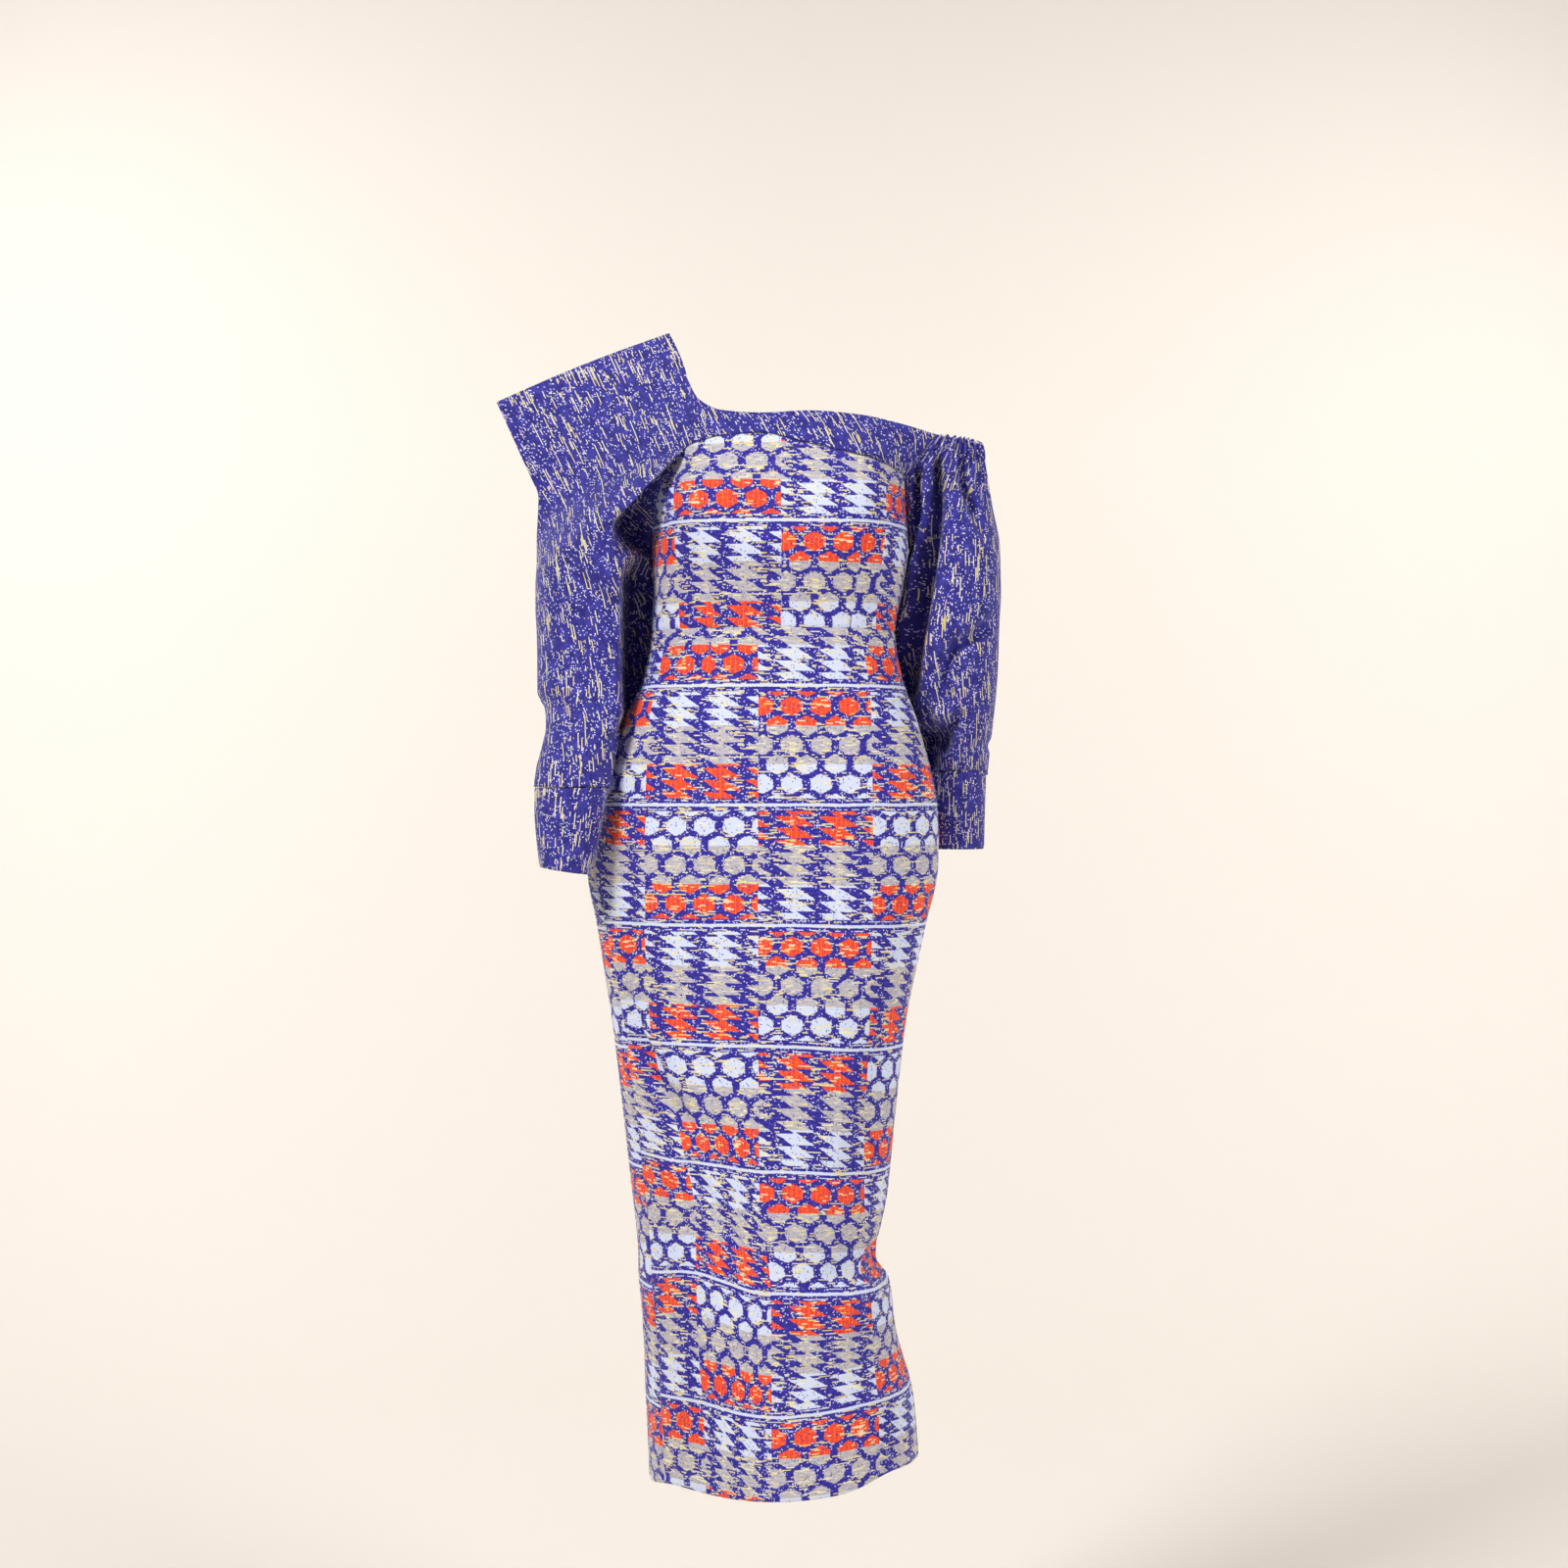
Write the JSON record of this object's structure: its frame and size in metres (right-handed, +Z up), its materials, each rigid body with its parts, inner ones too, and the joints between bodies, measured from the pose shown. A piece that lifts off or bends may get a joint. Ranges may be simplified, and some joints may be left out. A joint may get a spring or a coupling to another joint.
{
  "type": "one-shoulder dress",
  "caption": "Long fitted dress, hollow as worn: bare left shoulder, wide flat wing over the right one, long sleeves with plain cuffs and a gathered left sleeve head.",
  "frame": {"origin": "the point of the right shoulder seam that rests on the wearer's shoulder, two centimetres out from its neck end", "axes": "+Z up along the garment's length, -Y towards the front, +X towards the wearer's left"},
  "size_m": [0.5405, 0.2731, 1.2209],
  "materials": {
    "block_print_cloth": "printed ribbed cotton, matt",
    "streaked_indigo_cloth": "indigo cotton with fine cream and gold dashes, matt"
  },
  "bodies": {
    "root": {"bodice_front": "block_print_cloth", "bodice_back_right": "block_print_cloth", "bodice_back_left": "block_print_cloth", "skirt_front": "block_print_cloth", "skirt_back_right": "block_print_cloth", "skirt_back_left": "block_print_cloth", "yoke_sleeve_front": "streaked_indigo_cloth", "yoke_sleeve_back": "streaked_indigo_cloth", "sleeve_head_left": "streaked_indigo_cloth", "sleeve_left": "streaked_indigo_cloth", "cuff_left": "streaked_indigo_cloth", "cuff_right": "streaked_indigo_cloth"}
  },
  "joints": []
}
